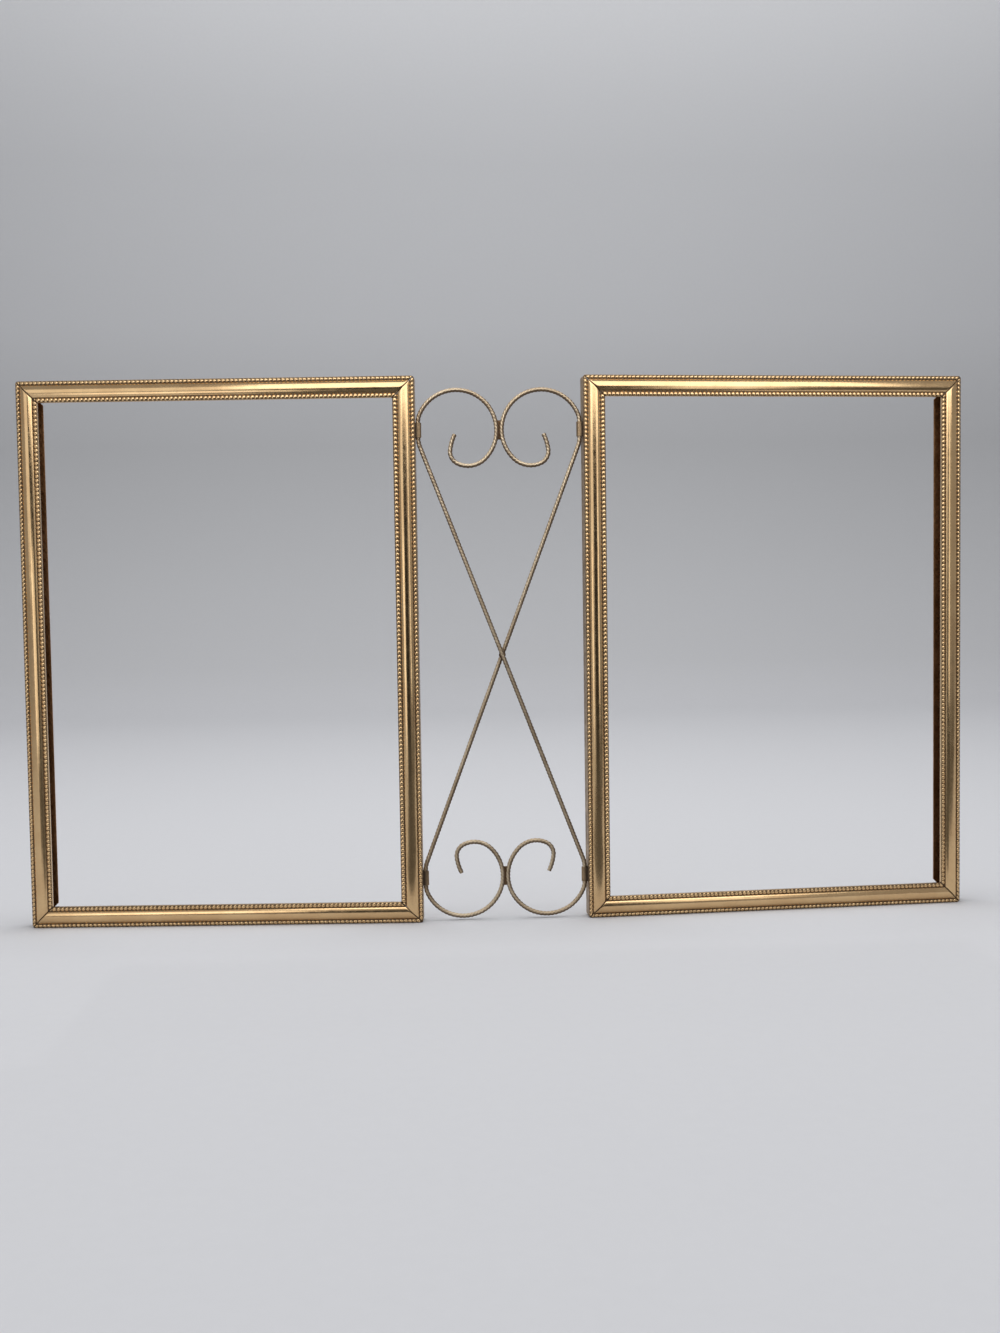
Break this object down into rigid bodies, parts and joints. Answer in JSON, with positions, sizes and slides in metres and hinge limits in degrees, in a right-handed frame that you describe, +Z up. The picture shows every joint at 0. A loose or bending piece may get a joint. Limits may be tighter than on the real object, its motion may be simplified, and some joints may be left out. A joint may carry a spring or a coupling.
{
  "type": "hinged double photo frame",
  "caption": "Upright beaded brass photo frames hinged to either side of a twisted-wire scroll that crosses in the middle.",
  "frame": {"origin": "bottom centre of the whole object's box, on the surface that it stands on", "axes": "+X along the pair towards the right-hand frame seen from the front, +Y from front to back, +Z up"},
  "size_m": [0.3182, 0.015, 0.182],
  "materials": {
    "gilt_brass": "stamped, lacquered, lightly worn",
    "gilt_wire": "twisted wire, satin, toned",
    "tarnished_brass": "dark, brazed and toned",
    "raw_brass": "unplated inner strip"
  },
  "bodies": {
    "scroll_panel": {"scroll_wire_front": "gilt_wire", "scroll_wire_rear": "gilt_wire", "upper_loop_braze": "tarnished_brass", "lower_loop_braze": "tarnished_brass", "crossing_braze": "tarnished_brass"},
    "left_frame": {"left_bottom_rail": "gilt_brass", "left_top_rail": "gilt_brass", "left_hinge_side_rail": "gilt_brass", "left_outer_side_rail": "gilt_brass", "left_corner_key_bottom_hinge_side": "raw_brass", "left_corner_key_bottom_outer_side": "raw_brass", "left_corner_key_top_outer_side": "raw_brass", "left_corner_key_top_hinge_side": "raw_brass", "left_upper_hinge_strap": "tarnished_brass", "left_lower_hinge_strap": "tarnished_brass"},
    "right_frame": {"right_bottom_rail": "gilt_brass", "right_top_rail": "gilt_brass", "right_hinge_side_rail": "gilt_brass", "right_outer_side_rail": "gilt_brass", "right_corner_key_bottom_hinge_side": "raw_brass", "right_corner_key_bottom_outer_side": "raw_brass", "right_corner_key_top_outer_side": "raw_brass", "right_corner_key_top_hinge_side": "raw_brass", "right_upper_hinge_strap": "tarnished_brass", "right_lower_hinge_strap": "tarnished_brass"}
  },
  "joints": [
    {"name": "left_frame_swing", "type": "hinge", "parent": "scroll_panel", "child": "left_frame", "pos_m": [-0.0269, -0.00372, 0.0895], "axis": [0, 0, 1], "range_deg": [-86.5, 93.5]},
    {"name": "right_frame_swing", "type": "hinge", "parent": "scroll_panel", "child": "right_frame", "pos_m": [0.0269, -0.00372, 0.0895], "axis": [0, 0, -1], "range_deg": [-86.5, 93.5]}
  ]
}
